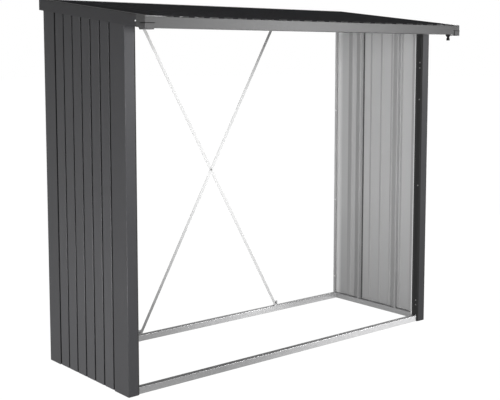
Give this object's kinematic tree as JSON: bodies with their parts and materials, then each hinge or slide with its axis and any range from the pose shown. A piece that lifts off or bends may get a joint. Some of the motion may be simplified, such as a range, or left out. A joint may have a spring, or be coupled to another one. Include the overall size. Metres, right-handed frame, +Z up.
{
  "type": "log store",
  "caption": "Lean-to log store of folded sheet steel, open at front and back, with ribbed side walls, a sloping roof with a gutter and a rear cross brace.",
  "frame": {"origin": "on the ground, under the middle of the roof's outline", "axes": "+X to the right along the width, +Y from the open front to the rear, +Z up"},
  "size_m": [2.29, 1.02, 1.9899],
  "materials": {
    "wall_sheet": "dark grey metallic paint outside, light grey primer inside",
    "roof_sheet": "dark grey metallic paint",
    "trim_sheet": "dark grey metallic paint",
    "stiffener_steel": "light grey primer",
    "rail_steel": "light grey primer",
    "base_steel": "bare zinc coating",
    "brace_steel": "bare zinc coating",
    "bolt_steel": "dark steel",
    "outlet_plastic": "black plastic"
  },
  "bodies": {
    "root": {"base_front_rail": "base_steel", "base_left_rail": "base_steel", "base_rear_rail": "base_steel", "base_right_rail": "base_steel", "brace_bolt": "bolt_steel", "brace_front_bar": "brace_steel", "brace_rear_bar": "brace_steel", "front_left_post": "trim_sheet", "front_right_post": "trim_sheet", "front_top_rail": "rail_steel", "gutter": "trim_sheet", "gutter_outlet": "outlet_plastic", "left_fascia": "trim_sheet", "left_gutter_cap": "trim_sheet", "left_top_rail": "rail_steel", "left_wall_front_sheet": "wall_sheet", "left_wall_front_stiffener": "stiffener_steel", "left_wall_middle_sheet": "wall_sheet", "left_wall_rear_sheet": "wall_sheet", "left_wall_rear_stiffener": "stiffener_steel", "lower_left_brace_clip": "brace_steel", "lower_right_brace_clip": "brace_steel", "rear_left_post": "trim_sheet", "rear_right_post": "trim_sheet", "rear_top_rail": "rail_steel", "rear_trim": "trim_sheet", "right_fascia": "trim_sheet", "right_gutter_cap": "trim_sheet", "right_top_rail": "rail_steel", "right_wall_front_sheet": "wall_sheet", "right_wall_front_stiffener": "stiffener_steel", "right_wall_middle_sheet": "wall_sheet", "right_wall_rear_sheet": "wall_sheet", "right_wall_rear_stiffener": "stiffener_steel", "roof_left_sheet": "roof_sheet", "roof_middle_sheet": "roof_sheet", "roof_right_sheet": "roof_sheet", "upper_left_brace_clip": "brace_steel", "upper_right_brace_clip": "brace_steel"}
  },
  "joints": []
}
